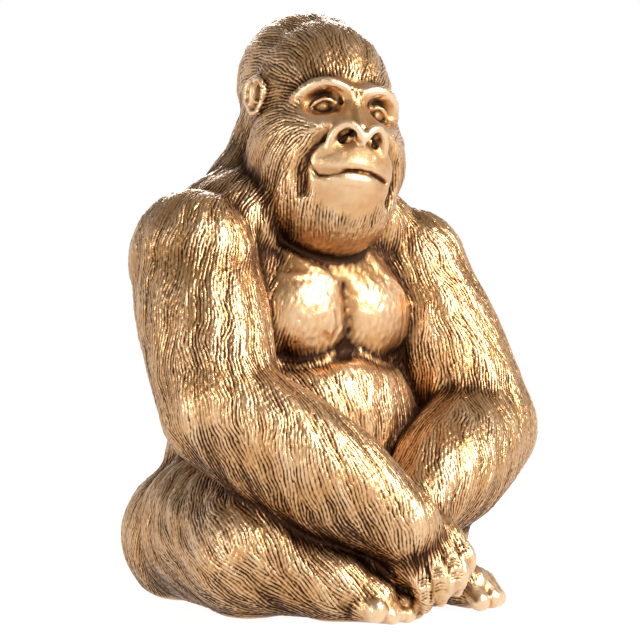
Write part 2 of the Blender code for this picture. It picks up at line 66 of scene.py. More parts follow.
# %% [markdown]
# ## The camera and the light first
#
# The photograph was taken level with the figure's chest, from a little to its right, with a long
# lens. Setting that up before anything is carved means that every later step can be checked
# against the photograph.

# %% Camera
VIEW_AZIMUTH = math.radians(-37.0)
VIEW_DISTANCE = 1.30
VIEW_HALF_HEIGHT = 0.212
SENSOR_WIDTH = 36.0
NEAREST_SEEN = 0.05
# The landmarks below were measured before the CAD model was centred on its base.
CENTRED_BY = Vector((-0.0029, 0.0131, -0.0010))
LOOKED_AT = Vector((0.0, 0.0, 0.185)) + CENTRED_BY

to_camera = Vector((math.sin(VIEW_AZIMUTH), -math.cos(VIEW_AZIMUTH), 0.0))
bpy.ops.object.camera_add(location=LOOKED_AT + to_camera * VIEW_DISTANCE)
camera = bpy.context.object
camera.name = "camera"
camera.rotation_euler = (-to_camera).to_track_quat("-Z", "Y").to_euler()
camera.data.sensor_width = SENSOR_WIDTH
camera.data.lens = SENSOR_WIDTH / (2 * VIEW_HALF_HEIGHT / VIEW_DISTANCE)
camera.data.clip_start = NEAREST_SEEN
bpy.context.scene.camera = camera
print("camera lens", round(camera.data.lens, 1), "mm")

# %% [markdown]
# The light is soft, as from a clouded sky with one bright part. A large lamp in front and above
# gives the broad highlights on chest and shoulders. Two weaker ones pick out the sides and the back.

# %% Lamps
# Each is name: (place, size, power).
LAMPS = {
    "key": ((0.40, -1.05, 0.95), 0.70, 25.0),
    "side": ((-1.25, -0.30, 0.45), 0.30, 4.0),
    "back": ((0.60, 1.00, 0.80), 0.60, 9.0),
}
for name, (place, size, power) in LAMPS.items():
    bpy.ops.object.light_add(type="AREA", location=place)
    lamp = bpy.context.object
    lamp.name = name
    lamp.data.size = size
    lamp.data.energy = power
    lamp.rotation_euler = (LOOKED_AT - Vector(place)).to_track_quat("-Z", "Y").to_euler()
print("lamps", list(LAMPS))

# %% [markdown]
# ## Helpers that work as hands do
#
# Everything below is done with a few moves: select one thing, apply a modifier to it, press a ball
# or a roll of clay on, and cut a stroke. Each gets a short function.

# %% Select and apply
def only(thing):
    """Selects this and nothing else."""
    bpy.ops.object.select_all(action="DESELECT")
    thing.select_set(True)
    bpy.context.view_layer.objects.active = thing


def apply_modifier(thing, kind, **settings):
    """Adds a modifier of this kind with these settings, and applies it at once."""
    modifier = thing.modifiers.new(kind.title(), kind)
    for name, value in settings.items():
        setattr(modifier, name, value)
    only(thing)
    bpy.ops.object.modifier_apply(modifier=modifier.name)


def clock(done):
    """Prints what is done and the seconds since the start."""
    print(f"{done}, {time.time() - started:.0f} s")


# %% Balls and rolls of clay
def turned(turn):
    """The rotation by three angles in degrees, as a 4 by 4 matrix."""
    return Euler([math.radians(angle) for angle in turn]).to_matrix().to_4x4()


def ball(place, radii):
    """A clay ball of three radii, set by a matrix."""
    bpy.ops.mesh.primitive_ico_sphere_add(subdivisions=4, radius=1.0)
    made = bpy.context.object
    made.matrix_world = place @ Matrix.Diagonal((*radii, 1.0))
    return made


def roll(stations, closed=False):
    """A tapered roll of clay through (point, radius) stations, from a curve with a round bevel."""
    bpy.ops.curve.primitive_bezier_curve_add(location=(0, 0, 0))
    curve = bpy.context.object
    curve.data.resolution_u = 8
    curve.data.bevel_depth = 1.0
    curve.data.bevel_resolution = 4
    curve.data.use_fill_caps = not closed
    spline = curve.data.splines[0]
    spline.use_cyclic_u = closed
    spline.radius_interpolation = "CARDINAL"
    spline.bezier_points.add(len(stations) - 2)
    for knot, (point, radius) in zip(spline.bezier_points, stations):
        knot.co = point
        knot.radius = radius
        knot.handle_left_type = knot.handle_right_type = "AUTO"
    only(curve)
    bpy.ops.object.convert(target="MESH")
    made = [bpy.context.object]
    if not closed:
        for point, radius in (stations[0], stations[-1]):
            made.append(ball(Matrix.Translation(point), (radius,) * 3))
    return made


# %% Press on, and cut
def fuse(body, pieces, voxel, rounds):
    """Presses the pieces on the body, and smooths the whole a little."""
    bpy.ops.object.select_all(action="DESELECT")
    for piece in pieces:
        piece.select_set(True)
    body.select_set(True)
    bpy.context.view_layer.objects.active = body
    bpy.ops.object.join()
    apply_modifier(body, "REMESH", mode="VOXEL", voxel_size=voxel)
    apply_modifier(body, "SMOOTH", factor=0.5, iterations=rounds)


def read_points(mesh):
    """The mesh's points as an array with a row for each."""
    points = np.empty(len(mesh.vertices) * 3, np.float32)
    mesh.vertices.foreach_get("co", points)
    return points.reshape(-1, 3)


def write_points(mesh, points):
    """Moves the mesh's points to these places."""
    mesh.vertices.foreach_set("co", points.ravel())
    mesh.update()


class Surface:
    """A skin's points as arrays, which strokes move along the skin's own normals."""

    def __init__(self, thing):
        self.mesh = thing.data
        self.points = read_points(self.mesh)
        self.normals = np.empty(self.points.size, np.float32)
        self.mesh.vertex_normals.foreach_get("vector", self.normals)
        self.normals = self.normals.reshape(-1, 3)
        self.shift = np.zeros(len(self.points), np.float32)
        self.crease_shade = np.zeros(len(self.points), np.float32)

    def stroke(self, path, width, depth, crease_shade=0.0):
        """Cuts a groove along a path, or raises a ridge where the depth is negative. The groove keeps
        a painted shade from 0 to 1, which darkens it when the paint reads it later."""
        path = np.array([tuple(point) for point in path])
        near = ((self.points > path.min(0) - width) & (self.points < path.max(0) + width)).all(1)
        points = self.points[near]
        reach = np.full(len(points), np.inf)
        for start, end in zip(path[:-1], path[1:]):
            along = end - start
            share = np.clip((points - start) @ along / (along @ along), 0.0, 1.0)
            reach = np.minimum(reach, np.linalg.norm(points - start - share[:, None] * along, axis=1))
        fall = np.clip(1.0 - (reach / width) ** 2, 0.0, 1.0) ** 2
        self.shift[near] -= depth * fall
        # Painted shade: the cut is darkened in the paint by this much.
        self.crease_shade[near] = np.maximum(self.crease_shade[near], crease_shade * fall)

    def finish(self):
        """Moves the points by what all the strokes add up to."""
        write_points(self.mesh, self.points + self.normals * self.shift[:, None])


def smoothed(thing, rounds):
    """The skin of a copy that is smoothed this many times, with its points in the same order."""
    copy = thing.copy()
    copy.data = thing.data.copy()
    bpy.context.scene.collection.objects.link(copy)
    apply_modifier(copy, "SMOOTH", factor=0.9, iterations=rounds)
    skin = Surface(copy)
    bpy.data.objects.remove(copy)
    return skin


def keep(thing, name, values):
    """Keeps a value from -1 to 1 on every point, for the paint."""
    kept = thing.data.attributes.new(name, "FLOAT", "POINT")
    kept.data.foreach_set("value", np.clip(values, -1.0, 1.0).astype(np.float32))


# %% [markdown]
# ## The plain form
#
# The CAD node is a coarse skin of loose triangles. A copy of it is merged into one skin, rounded by
# a subdivision surface and given an even grid of faces by a voxel remesh, which is clay to work on.

# %% Copy the CAD form
SAME_POINT = 0.00001
SKIN_VOXEL = 0.0014
SKIN_ROUNDS = 8

solid = bpy.data.objects["figurine"]
gorilla = bpy.data.objects.new("gorilla", solid.data.copy())
bpy.context.scene.collection.objects.link(gorilla)
only(gorilla)
bpy.ops.object.mode_set(mode="EDIT")
bpy.ops.mesh.select_all(action="SELECT")
bpy.ops.mesh.remove_doubles(threshold=SAME_POINT)
bpy.ops.object.mode_set(mode="OBJECT")
apply_modifier(gorilla, "SUBSURF", levels=1, render_levels=1)
apply_modifier(gorilla, "REMESH", mode="VOXEL", voxel_size=SKIN_VOXEL)
apply_modifier(gorilla, "SMOOTH", factor=0.5, iterations=SKIN_ROUNDS)
clock(f"plain form: {len(gorilla.data.polygons)} faces")

# %% [markdown]
# ## The face
#
# The head has a frame of its own, because it is turned and leans. In that frame a landmark is three
# easy numbers: how far out from the middle, how far forward, how high. Brows, eyeballs, lids, the
# heart-shaped rim of the nose, lips and ears are pressed on as rolls and balls.

# %% Head frame
HEAD_CENTRE = Vector((0.002, 0.000, 0.306)) + CENTRED_BY
HEAD_LEAN, HEAD_TURN = 6.5, -13.0
RIGHT, LEFT = -1, 1
MM = 0.001

head_place = Matrix.Translation(HEAD_CENTRE) @ turned((0, 0, HEAD_TURN)) @ turned((0, HEAD_LEAN, 0))
head_turn = head_place.to_3x3().to_4x4()


def fore(point, side=LEFT):
    """A face landmark in millimetres (out, forward, up) as a point in space."""
    return head_place @ (Vector((side * point[0], -point[1], point[2])) * MM)


def face_roll(points, radius, side=LEFT, taper=1.0):
    """A roll through face landmarks, thinner at its ends by a factor."""
    last = len(points) - 1
    stations = []
    for index, point in enumerate(points):
        thick = radius * (taper if index in (0, last) else 1.0) * MM
        stations.append((fore(point, side), thick))
    return roll(stations)


def face_ball(point, radii, side=LEFT):
    """A ball at a face landmark, with its axes along those of the head."""
    place = Matrix.Translation(fore(point, side)) @ head_turn
    return [ball(place, [radius * MM for radius in radii])]


# %% Sockets and folds, cut before anything is pressed on
# Each is (landmarks, width, depth), all in millimetres.
EYE_SOCKET = ((14, 44, 12), (23, 41, 12)), 10.0, 2.5
CHEEK_FOLD = ((19, 55, -4), (26, 51, -9), (31, 48, -18), (33, 47, -30), (31, 48, -42)), 7.0, 4.0

surface = Surface(gorilla)
for side in (RIGHT, LEFT):
    for path, width, depth in (EYE_SOCKET, CHEEK_FOLD):
        surface.stroke([fore(point, side) for point in path], width * MM, depth * MM)
surface.finish()
print("sockets and folds cut")

# %% Features
# Landmarks and radii are in millimetres. Those of a pair are for the left side.
EYE, EYE_RADII = (18.4, 33.6, 13.2), (8.2, 8.2, 8.2)
UPPER_LID = ((9.6, 42.0, 12.3), (13.5, 43.4, 16.8), (18.6, 43.8, 18.4), (23.4, 41.8, 16.6),
             (27.6, 37.8, 11.0))
LOWER_LID = ((9.6, 42.0, 12.3), (13.5, 42.8, 9.2), (18.8, 43.0, 8.0), (23.4, 41.0, 8.6), (27.6, 37.8, 11.0))
EYE_BAG = ((11.0, 44.5, 5.5), (18.0, 43.8, 2.6), (25.0, 40.5, 3.2), (30.5, 36.0, 7.0))
BROW = ((0.0, 45.5, 22.0), (7.5, 46.0, 26.3), (19.0, 44.5, 28.8), (30.0, 38.5, 24.5), (35.5, 31.5, 16.5))
CHEEK_BONE, CHEEK_BONE_RADII = (22.0, 39.0, -1.0), (9.0, 6.0, 6.5)
NOSE_BRIDGE = ((0.0, 44.0, 18.0), (0.0, 49.5, 9.0), (0.0, 57.0, 0.0))
NOSE_ARCH = ((0.0, 64.5, -9.0), (2.0, 65.2, -4.5), (5.5, 64.6, -0.4), (10.2, 62.5, 1.6),
             (15.2, 59.8, -0.8), (18.4, 57.6, -6.5), (19.0, 56.0, -13.0), (16.5, 56.5, -18.0))
NOSTRIL_FLAP, NOSTRIL_FLAP_RADII = (8.2, 58.5, -4.5), (4.2, 4.6, 4.0)
NOSE_PAD, NOSE_PAD_RADII = (0.0, 54.5, -19.0), (19.5, 9.2, 11.0)
UPPER_LIP = ((-23, 48.0, -24.0), (-13, 55.0, -22.0), (0, 58.0, -21.0), (13, 55.0, -22.0), (23, 48.0, -24.0))
LOWER_LIP = ((-22, 48.0, -33.0), (-11, 55.5, -33.0), (0, 58.0, -32.5), (11, 55.5, -33.0), (22, 48.0, -33.0))
CHIN, CHIN_RADII = (0.0, 49.5, -41.0), (16.0, 11.0, 7.0)
EAR, EAR_TURN = (49.5, -1.5, 20.0), -28.0
# Ear points are (back, up) from the middle of the ear.
EAR_RIM = ((-5.0, -8.0), (-7.0, -1.0), (-5.5, 7.5), (1.0, 11.0), (6.5, 7.5), (7.5, 0.0), (4.5, -7.0),
           (-1.0, -11.5))
EAR_INNER = ((-2.5, -4.5), (2.5, -2.0), (3.0, 3.5), (-0.5, 6.5))


def ear_stations(points, out, radius, side):
    """The stations of an ear's roll, at this distance out from the plane of the ear."""
    ear_place = Matrix.Translation(fore(EAR, side)) @ head_turn @ turned((0, 0, side * EAR_TURN))
    return [(ear_place @ (Vector((side * out, back, up)) * MM), radius * MM) for back, up in points]


features = []
for side in (RIGHT, LEFT):
    features += face_roll(BROW, radius=3.8, side=side, taper=0.8)
    features += face_ball(EYE, EYE_RADII, side)
    features += face_roll(UPPER_LID, radius=1.6, side=side, taper=0.6)
    features += face_roll(LOWER_LID, radius=1.4, side=side, taper=0.6)
    features += face_roll(EYE_BAG, radius=1.9, side=side, taper=0.6)
    features += face_ball(CHEEK_BONE, CHEEK_BONE_RADII, side)
    features += face_roll(NOSE_ARCH, radius=3.1, side=side, taper=0.9)
    features += face_ball(NOSTRIL_FLAP, NOSTRIL_FLAP_RADII, side)
    features += roll(ear_stations(EAR_RIM, out=1.5, radius=2.0, side=side), closed=True)
    features += roll(ear_stations(EAR_INNER, out=1.0, radius=1.3, side=side))
features += face_roll(NOSE_BRIDGE, radius=6.3)
features += face_ball(NOSE_PAD, NOSE_PAD_RADII)
features += face_roll(UPPER_LIP, radius=5.8, taper=0.7)
features += face_roll(LOWER_LIP, radius=6.4, taper=0.75)
features += face_ball(CHIN, CHIN_RADII)
print("face features:", len(features), "pieces of clay")

# %% [markdown]
# ## Hands and feet
#
# Only the right hand shows in full. It hangs over the left wrist with its knuckles forward, and its
# four fingers curl down and under. Each finger is a roll through knuckle, joint and tip. The toes
# of both feet peep out beside it.

# %% Fingers and toes
# Fingers go from the lowest to the highest. Each toe is (base, tip, radius). All are in millimetres.
KNUCKLES = ((-16.5, -120.0, 29.0), (-8.0, -125.0, 35.0), (3.0, -127.5, 40.5), (13.0, -124.0, 47.0))
JOINTS = ((-14.0, -126.5, 19.5), (-5.0, -132.5, 25.0), (6.0, -134.5, 30.0), (16.5, -129.5, 37.0))
TIPS = ((-11.0, -121.0, 9.5), (-2.5, -126.0, 13.5), (8.5, -128.0, 19.0), (18.0, -124.0, 27.0))
TOES = (
    ((42, -100, 17), (42, -112, 8), 7.6),
    ((51, -98, 20), (53, -111, 9), 7.8),
    ((60, -95, 17), (62, -105, 8), 7.4),
    ((-47, -104, 12), (-44, -114, 10), 9.0),
    ((-36, -108, 7), (-33, -116, 6), 6.6),
    ((-24, -108, 7), (-21, -116, 5.5), 6.4),
    ((-15, -105, 19), (-12, -112, 8), 8.0),
    ((-30, -100, 14), (-17, -106, 12), 10.0),
    ((-24, -106, 12), (-20, -111, 11), 8.0),
)


def spot(point):
    """A body landmark in millimetres as a point in space."""
    return Vector(point) * MM + CENTRED_BY


TO_WRIST = Vector((0, 6, 6)) * MM
FINGER_RADII = 5.0, 5.4, 4.8, 3.8
TOE_TAPER = 0.85

for knuckle, joint, tip in zip(KNUCKLES, JOINTS, TIPS):
    path = spot(knuckle) + TO_WRIST, spot(knuckle), spot(joint), spot(tip)
    features += roll([(point, radius * MM) for point, radius in zip(path, FINGER_RADII)])
for base, tip, radius in TOES:
    features += roll([(spot(base), radius * MM), (spot(tip), radius * TOE_TAPER * MM)])
print("with fingers and toes:", len(features), "pieces of clay")

# %% Press everything on
FINE_VOXEL = 0.00074

fuse(gorilla, features, FINE_VOXEL, rounds=3)
clock(f"fused: {len(gorilla.data.polygons)} faces")

# %% [markdown]
# ## Strokes
#
# Folds, wrinkles and the line of the mouth are cut, and thin ridges are raised, with a round tool
# that follows a few landmarks. Each row says where, how wide and how deep.

# %% Strokes on the face
# Each is (landmarks, width, depth, painted shade), in millimetres apart from the painted shade.
FACE_STROKES = (
    (((-5.0, 47.5, 19.0), (-3.6, 48.5, 28.0)), 1.4, 1.3, 0.7),
    (((-1.4, 48.5, 17.5), (-1.0, 49.5, 29.0)), 1.4, 1.3, 0.7),
    (((2.6, 48.5, 17.5), (1.8, 49.5, 28.5)), 1.4, 1.3, 0.7),
    (((-6, 49.5, 14.5), (0, 51.5, 12.8), (6, 49.5, 14.5)), 1.5, 1.0, 0.5),
)
IRIS = ((15.6, 43.0, 13.3), (17.0, 43.0, 15.2), (19.6, 43.0, 15.2), (21.0, 42.5, 13.3), (19.6, 43.0, 11.3),
        (17.0, 43.0, 11.3), (15.6, 43.0, 13.3))
# These come on both sides.
FACE_PAIRS = (
    (((7.4, 63.5, -4.4), (10.0, 62.0, -5.2), (11.8, 60.5, -7.6)), 3.8, 5.5, 0.9),
    (((10.5, 47.0, 6.0), (11.0, 47.5, 10.0)), 4.5, 1.6, 0.3),
    (((8.5, 46.5, 15.5), (12.0, 46.5, 20.8), (19.0, 45.5, 23.6)), 2.4, 1.5, 0.5),
    (((13.0, 50.0, 1.0), (17.5, 51.5, -4.0), (21.0, 52.0, -10.0)), 3.6, 2.2, 0.8),
    (((2.5, 66.0, -9.5), (5.5, 66.0, -10.5)), 2.2, 0.8, 0.0),
    (((11.0, 43.0, 14.8), (15.0, 44.5, 18.2), (20.0, 44.5, 19.8), (26.0, 40.5, 17.0)), 1.2, 0.8, 0.5),
    (((11.5, 43.6, 7.2), (18.5, 44.0, 5.2), (25.0, 41.0, 5.8), (30.0, 37.0, 9.0)), 1.3, 1.0, 0.7),
    (((12.0, 45.5, 1.5), (19.0, 44.0, -0.8), (27.0, 40.0, 0.6)), 1.6, 0.9, 0.5),
    (((9.0, 46.5, 23.5), (15.0, 47.5, 26.0), (24.0, 45.0, 26.5)), 1.3, 0.8, 0.5),
    (((21.0, 54.5, -8.0), (26.0, 52.0, -13.5), (30.0, 49.5, -21.0), (32.0, 48.0, -30.0)), 3.6, 1.4, 0.4),
    (((17.5, 57.5, -17.5), (21.5, 55.5, -20.0), (26.0, 52.5, -21.5)), 2.4, 1.1, 0.3),
    (IRIS, 0.9, 0.5, 0.6),
)

surface = Surface(gorilla)
for path, width, depth, crease_shade in FACE_STROKES:
    surface.stroke([fore(point) for point in path], width * MM, depth * MM, crease_shade)
for path, width, depth, crease_shade in FACE_PAIRS:
    for side in (RIGHT, LEFT):
        surface.stroke([fore(point, side) for point in path], width * MM, depth * MM, crease_shade)
print("face strokes cut")

# %% Strokes on the chest
# Each is (points as (x, z), width, depth), laid on the skin from the front.
# A negative depth raises a ridge.
CHEST_STROKES = (
    (((-3, 206), (-2, 194), (-1.5, 180)), 8.0, 0.9),
    (((-50, 158), (-38, 155), (-24, 158), (-12, 163)), 4.0, -1.0),
    (((8, 164), (20, 158), (34, 155), (48, 160)), 4.0, -1.0),
    (((-56, 246), (-46, 235), (-32, 222), (-18, 213)), 6.0, -0.6),
    (((18, 244), (24, 228), (36, 213), (46, 203)), 6.0, -0.4),
    (((-46, 213), (-32, 214), (-20, 211)), 4.5, -0.7),
    (((-15, 190), (-12, 180), (-17, 172), (-24, 176)), 3.2, 0.9),
    (((44, 200), (46, 184), (45, 170)), 4.0, 1.0),
)
# Points start well in front, and each stretch of a path is laid in three steps.
IN_FRONT = -400
TOWARDS_BACK = Vector((0, 1, 0))
STEPS = 3


def laid_on_chest(path):
    """The path's points and those between them, each pushed back until it meets the skin."""
    path = np.array(path, float)
    shares = np.linspace(0, len(path) - 1, STEPS * (len(path) - 1) + 1)
    across, up = (np.interp(shares, range(len(path)), path[:, axis]) for axis in (0, 1))
    return [gorilla.ray_cast(spot((x, IN_FRONT, z)), TOWARDS_BACK)[1] for x, z in zip(across, up)]


bpy.context.view_layer.update()
for path, width, depth in CHEST_STROKES:
    surface.stroke(laid_on_chest(path), width * MM, depth * MM)
print("chest strokes cut")

# %% Strokes that follow the photograph
PHOTO_PIXELS = 640
PIXEL = 2 * VIEW_HALF_HEIGHT / PHOTO_PIXELS
ACROSS_VIEW = Vector((math.cos(VIEW_AZIMUTH), math.sin(VIEW_AZIMUTH), 0.0))
UP = Vector((0, 0, 1))


def seen_at(x, y):
    """The place on the skin that the camera sees at this pixel of the photograph."""
    middle = PHOTO_PIXELS / 2
    aim = LOOKED_AT + (ACROSS_VIEW * (x - middle) + UP * (middle - y)) * PIXEL
    return gorilla.ray_cast(camera.location, (aim - camera.location).normalized())[1]


# Each stroke is (pixels, width, depth, painted shade): the mouth and the gaps between the fingers.
MOUTH = ((309, 162), (313, 170), (319, 175), (328, 175), (338, 173), (348, 170.5), (360, 170.5), (370, 173),
         (379, 178), (386, 183))
SEEN_STROKES = (
    (MOUTH, 1.7, 1.2, 0.55),
    (((426, 568), (431, 579), (433, 590), (431, 602)), 2.2, 1.0, 0.2),
    (((443, 558), (447, 567), (449, 578), (447, 592)), 2.2, 1.0, 0.2),
    (((456, 545), (460, 555), (464, 566), (463, 576)), 2.2, 1.0, 0.2),
)
# Three short wrinkles lie across each of these joints of the fingers. Levels and arcs are in pixels
# from the joint, and WRINKLE is (width, depth, painted shade).
WRINKLED = ((425, 581), (439, 571), (454, 561), (464, 547), (427, 595), (441, 586), (457, 575))
WRINKLE_LEVELS = -3.2, 0.0, 3.2
WRINKLE_ARC = (-5, 2.5), (0, 0), (5, 1.0)
WRINKLE = 1.0 * MM, 0.9 * MM, 0.5

for path, width, depth, crease_shade in SEEN_STROKES:
    surface.stroke([seen_at(x, y) for x, y in path], width * MM, depth * MM, crease_shade)
for x, y in WRINKLED:
    for level in WRINKLE_LEVELS:
        arc = [seen_at(x + out, y + level + drop) for out, drop in WRINKLE_ARC]
        surface.stroke(arc, *WRINKLE)
# The painted shade of all the cuts, which darkens the creases in the paint.
creases = surface.crease_shade
surface.finish()
clock("mouth and fingers cut")

# %% [markdown]
# ## The fur
#
# The strands on the real figure are shallow cuts about 2 to 3 mm apart, which run where the fur
# would lie. So the figure first gets a flow: guides say which way the fur runs at a few places, and
# every point of the skin blends the guides around it. A slow wobble keeps the strands from looking
# combed.

# %% Guides of the flow
# Body guides are (place, direction) for the left side, in millimetres before the figure was centred.
BODY_GUIDES = (
    ((0, 92, 275), (0, 0.2, -1)), ((40, 100, 200), (0.15, 0, -1)), ((0, 104, 150), (0, 0, -1)),
    ((45, 100, 110), (0.1, 0.1, -1)), ((60, 30, 285), (1, 0, -0.35)), ((95, 15, 266), (1, 0, -1)),
    ((130, 15, 225), (0, 0, -1)), ((135, 0, 180), (0, -0.15, -1)), ((100, -40, 190), (0.25, 0, -1)),
    ((62, -25, 215), (0.45, -0.1, -1)), ((90, 52, 190), (0, 0, -1)), ((140, -40, 130), (-0.1, -0.3, -1)),
    ((75, -75, 132), (-0.15, -0.2, -1)), ((100, -80, 92), (-0.15, 0, -1)),
    ((40, -112, 84), (-0.35, -0.1, -1)),
    ((70, -70, 60), (-0.4, 0, -0.7)), ((15, -130, 50), (-0.1, -0.2, -1)), ((0, -60, 130), (0.1, -0.1, -1)),
    ((34, -46, 130), (-0.5, -0.2, -1)), ((76, 30, 150), (0, -0.2, -1)), ((85, 60, 92), (0.8, 0.1, -0.6)),
    ((110, 62, 62), (0.3, 0.5, -0.9)), ((108, 10, 72), (0.6, -0.2, -0.9)), ((112, 0, 40), (0.1, -0.9, -0.5)),
    ((114, -50, 40), (-0.1, -0.8, -0.6)), ((75, -92, 36), (-0.4, -0.5, -0.8)), ((50, 116, 50), (0.2, 0, -1)),
    ((90, 95, 30), (0.5, -0.2, -0.8)), ((40, -110, 20), (0, -1, -0.4)), ((0, -50, 215), (0.1, 0, -1)),
)
# Head guides are (landmark, direction), both as (out, forward, up).
HEAD_GUIDES = (
    ((0, 45, 38), (0, -0.4, 1)), ((28, 36, 34), (0.35, -0.5, 0.7)), ((0, 0, 82), (0, -1, 0.1)),
    ((0, -76, 62), (0, -0.5, -1)), ((0, -80, 20), (0, 0, -1)), ((44, 20, 20), (0.2, -1, 0.15)),
    ((46, -5, 48), (0, -1, 0.1)), ((47, 28, -5), (0.1, -0.7, -0.5)), ((50, 22, -30), (0, -0.3, -1)),
    ((40, 36, -56), (-0.2, 0, -1)), ((0, 62, -52), (0, -0.3, -1)), ((0, 34, -80), (0, -1, -0.2)),
    ((50, -25, -30), (0, -0.1, -1)), ((30, -60, -20), (0.1, 0, -1)),
)

guide_places, guide_ways = [], []
for side in (RIGHT, LEFT):
    for place, way in BODY_GUIDES:
        guide_places.append(spot((side * place[0], place[1], place[2])))
        guide_ways.append(Vector((side * way[0], way[1], way[2])).normalized())
    for place, way in HEAD_GUIDES:
        guide_places.append(fore(place, side))
        guide_ways.append((head_turn @ Vector((side * way[0], -way[1], way[2]))).normalized())
guide_places = np.array(guide_places, np.float32)
guide_ways = np.array(guide_ways, np.float32)
print(len(guide_places), "guides")

# %% Slow noise
def slow_noise(points, size, seed, waves=10):
    """A smooth random value, mostly from -1 to 1, that changes over about that size in metres."""
    rng = np.random.default_rng(seed)
    total = np.zeros(len(points), np.float32)
    for _ in range(waves):
        way = rng.normal(size=3)
        way *= 2 * math.pi / (size * rng.uniform(0.8, 1.8) * np.linalg.norm(way))
        total += np.sin(points @ way.astype(np.float32) + np.float32(rng.uniform(0, 2 * math.pi)))
    return total / math.sqrt(waves)


# %% Blend the guides over the skin
GUIDE_REACH = 0.024
FAR_PULL = 1e-4
WOBBLE = 0.22
SMALL_WOBBLE = 0.6 * WOBBLE
BATCH = 100000

surface = Surface(gorilla)
flow = np.empty_like(surface.points)
for start in range(0, len(flow), BATCH):
    part = slice(start, start + BATCH)
    reach = np.linalg.norm(surface.points[part, None] - guide_places, axis=2) / GUIDE_REACH
    flow[part] = (np.exp(-0.5 * reach ** 2) + FAR_PULL / reach ** 2) @ guide_ways
flow -= surface.normals * np.einsum("ij,ij->i", flow, surface.normals)[:, None]
flow /= np.maximum(np.linalg.norm(flow, axis=1, keepdims=True), 1e-9)
wobble = WOBBLE * slow_noise(surface.points, size=0.022, seed=21)
wobble += SMALL_WOBBLE * slow_noise(surface.points, size=0.009, seed=22)
flow = flow * np.cos(wobble)[:, None] + np.cross(surface.normals, flow) * np.sin(wobble)[:, None]
clock(f"flow laid over {len(flow)} points")

# %% [markdown]
# Waves are now laid across the flow. Each wave fades out after a few millimetres and the next takes
# over in step with it, which gives long strands that now and then split or end, as carved ones do.
# Fine waves make the strands, and a few broader ones gather them into locks.

# %% Waves across the flow
# Large primes that give every small cube of space a number of its own.
CUBE_PRIMES = np.array((73856093, 19349663, 83492791))


class Waves:
    """Fading waves that run across the flow. Their sum turns by one turn from strand to strand.

    One wave starts in each small cube of the step's size that the skin passes through. It fades out
    over the lengths along and across the flow. The cells only make the search for near waves quick.
    """

    def __init__(self, surface, flow, spacing, step, along, across, seed):
        rng = np.random.default_rng(seed)
        order = rng.permutation(len(surface.points))
        cubes = np.floor(surface.points[order] / step).astype(np.int64)
        key = np.bitwise_xor.reduce(cubes * CUBE_PRIMES, axis=1)
        chosen = order[np.unique(key, return_index=True)[1]]
        self.places = surface.points[chosen]
        self.normals = surface.normals[chosen]
        self.ways = flow[chosen]
        self.sides = np.cross(self.normals, self.ways)
        self.turns = rng.uniform(0, 2 * math.pi, len(chosen)).astype(np.float32)
        self.spacing, self.along, self.across = spacing, along, across
        self.cell = 2.0 * along
        self.cells = {}
        for index, cell in enumerate(map(tuple, np.floor(self.places / self.cell).astype(int))):
            self.cells.setdefault(cell, []).append(index)

    def sum_at(self, points, normals):
        """Length and angle of the summed waves, as complex numbers."""
        total = np.zeros(len(points), np.complex64)
        cells = np.floor(points / self.cell).astype(int)
        order = np.lexsort(cells.T)
        breaks = np.flatnonzero(np.any(np.diff(cells[order], axis=0), axis=1)) + 1
        for group in np.split(order, breaks):
            x, y, z = cells[group[0]]
            near = [i for dx in (-1, 0, 1) for dy in (-1, 0, 1) for dz in (-1, 0, 1)
                    for i in self.cells.get((x + dx, y + dy, z + dz), ())]
            if not near:
                continue
            centre = points[group].mean(axis=0)
            here, places = points[group] - centre, self.places[near] - centre
            out, on, lift = (here @ axes[near].T - np.einsum("ij,ij->i", places, axes[near])
                             for axes in (self.sides, self.ways, self.normals))
            weight = np.exp(-0.5 * ((on / self.along) ** 2 + (out ** 2 + lift ** 2) / self.across ** 2))
            weight *= np.clip(normals[group] @ self.normals[near].T, 0.0, 1.0)
            angle = out * np.float32(2 * math.pi / self.spacing) + self.turns[near]
            total[group] = (weight * np.cos(angle)).sum(axis=1) + 1j * (weight * np.sin(angle)).sum(axis=1)
        return total

    def fall_in_step(self, rounds):
        """Each wave takes the turn of its neighbours' sum at its own place."""
        for _ in range(rounds):
            self.turns = np.angle(self.sum_at(self.places, self.normals)).astype(np.float32)

    def ridges(self, surface):
        """1 on each ridge, 0 in each groove."""
        return np.abs(np.cos(np.angle(self.sum_at(surface.points, surface.normals)) / 2))


strands = Waves(surface, flow, spacing=0.0022, step=0.0025, along=0.0036, across=0.0019, seed=7)
strands.fall_in_step(rounds=2)
strand = strands.ridges(surface)
clock(f"{len(strands.places)} strand waves")
locks = Waves(surface, flow, spacing=0.0075, step=0.0050, along=0.0075, across=0.0048, seed=11)
locks.fall_in_step(rounds=1)
lock = locks.ridges(surface)
clock(f"{len(locks.places)} lock waves")

# %% [markdown]
# The face, the chest, the fingers and the toes are bare. They are marked by soft ellipsoids whose
# borders are broken up by noise, so that the fur thins out and doesn't stop at a line. The underside
# stays flat.

# %% Where the skin is bare
# Each is (centre, radii, softness of the edge) of an ellipsoid, in millimetres.
BARE_FACE = (
    ((0, -46, 15), (38, 24, 20.5), 0.08),
    ((0, -60, -23), (33, 26, 34), 0.14),
    ((RIGHT * EAR[0], 5, EAR[2]), (10, 11, 14), 0.15),
    ((LEFT * EAR[0], 5, EAR[2]), (10, 11, 14), 0.15),
)
BARE_CHEST = (((0, -34, 202), (60, 40, 49), 0.22),)
BARE_HANDS = (
    ((4, -137, 23), (25, 13, 19), 0.22),
    ((-32, -116, 8), (24, 12, 10), 0.20),
    ((53, -110, 10), (20, 14, 13), 0.20),
)
CHEST_BARENESS, HAND_BARENESS = 0.95, 0.8
UNDERSIDE, UNDERSIDE_EDGE = 0.003, 0.002
RAGGEDNESS = 0.6

ragged = slow_noise(surface.points, size=0.006, seed=31)


